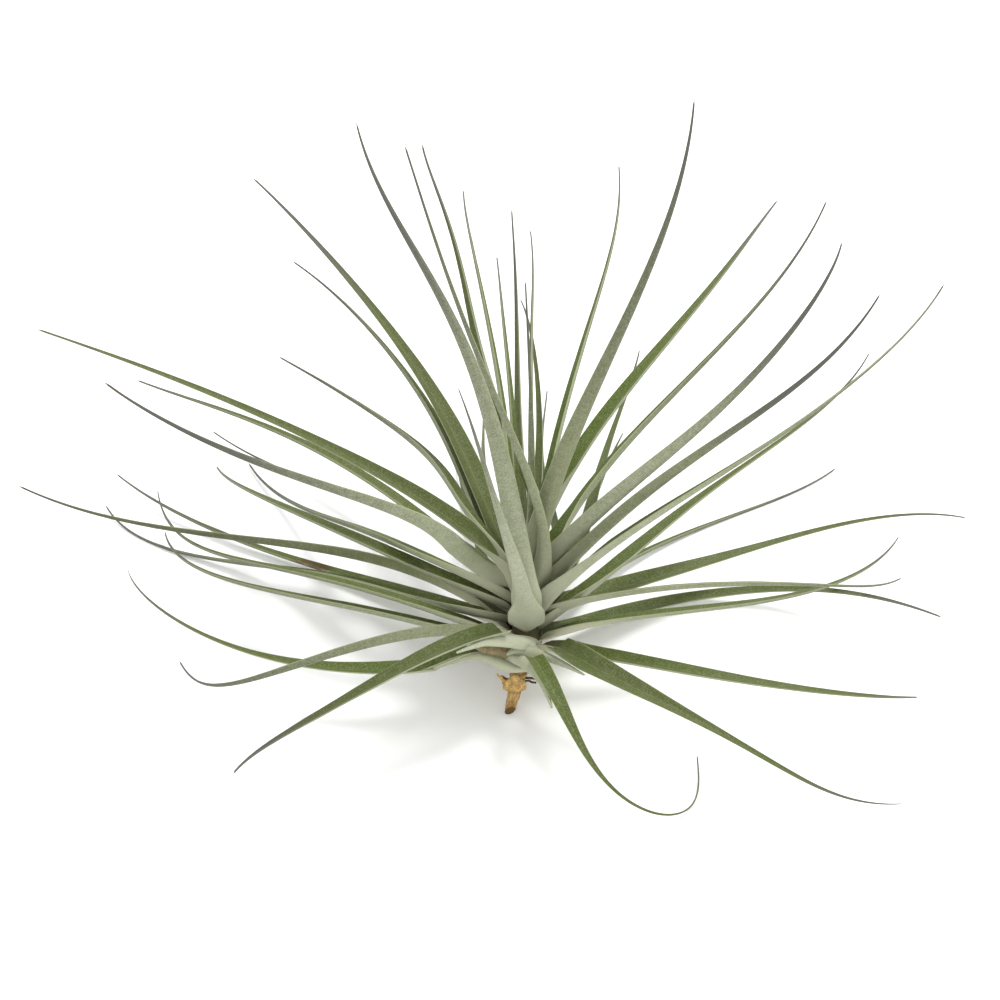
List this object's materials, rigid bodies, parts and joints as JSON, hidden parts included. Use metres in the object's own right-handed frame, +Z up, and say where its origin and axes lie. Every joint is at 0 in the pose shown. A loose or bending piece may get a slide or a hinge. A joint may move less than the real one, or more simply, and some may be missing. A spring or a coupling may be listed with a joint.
{
  "type": "air plant",
  "caption": "Potless rosette of long, tapering, channelled silver-green leaves on a short woody stub, leaning back at rest on its lower leaves.",
  "frame": {"origin": "on the surface the plant rests on, under the middle of its bounding box", "axes": "+Z up, +Y towards the back that the plant leans to, +X to the right as seen from the stub's side"},
  "size_m": [0.292, 0.2102, 0.2023],
  "materials": {
    "leaf": "matt olive to silver-green, with a fine pale bloom of scales",
    "stem": "rough golden-brown dead stem with a darker cut end",
    "dry_sheath": "matt papery tan",
    "root": "matt dark brown wiry root"
  },
  "bodies": {
    "root": {"stem": "stem", "leaf_curled": "leaf", "leaf_02": "leaf", "leaf_03": "leaf", "leaf_04": "leaf", "leaf_05": "leaf", "leaf_06": "leaf", "leaf_07": "leaf", "leaf_08": "leaf", "leaf_09": "leaf", "leaf_10": "leaf", "leaf_11": "leaf", "leaf_12": "leaf", "leaf_13": "leaf", "leaf_14": "leaf", "leaf_15": "leaf", "leaf_16": "leaf", "leaf_17": "leaf", "leaf_18": "leaf", "leaf_19": "leaf", "leaf_20": "leaf", "leaf_21": "leaf", "leaf_22": "leaf", "leaf_23": "leaf", "leaf_24": "leaf", "leaf_25": "leaf", "leaf_26": "leaf", "leaf_27": "leaf", "leaf_28": "leaf", "leaf_29": "leaf", "leaf_30": "leaf", "leaf_31": "leaf", "leaf_32": "leaf", "leaf_33": "leaf", "leaf_34": "leaf", "leaf_35": "leaf", "leaf_36": "leaf", "leaf_37": "leaf", "leaf_38": "leaf", "leaf_39": "leaf", "leaf_40": "leaf", "leaf_41": "leaf", "leaf_42": "leaf", "leaf_43": "leaf", "leaf_44": "leaf", "leaf_45": "leaf", "leaf_46": "leaf", "leaf_47": "leaf", "leaf_48": "leaf", "leaf_49": "leaf", "leaf_50": "leaf", "dry_sheath_1": "dry_sheath", "dry_sheath_2": "dry_sheath", "dry_sheath_3": "dry_sheath", "root_1": "root", "root_2": "root"}
  },
  "joints": []
}
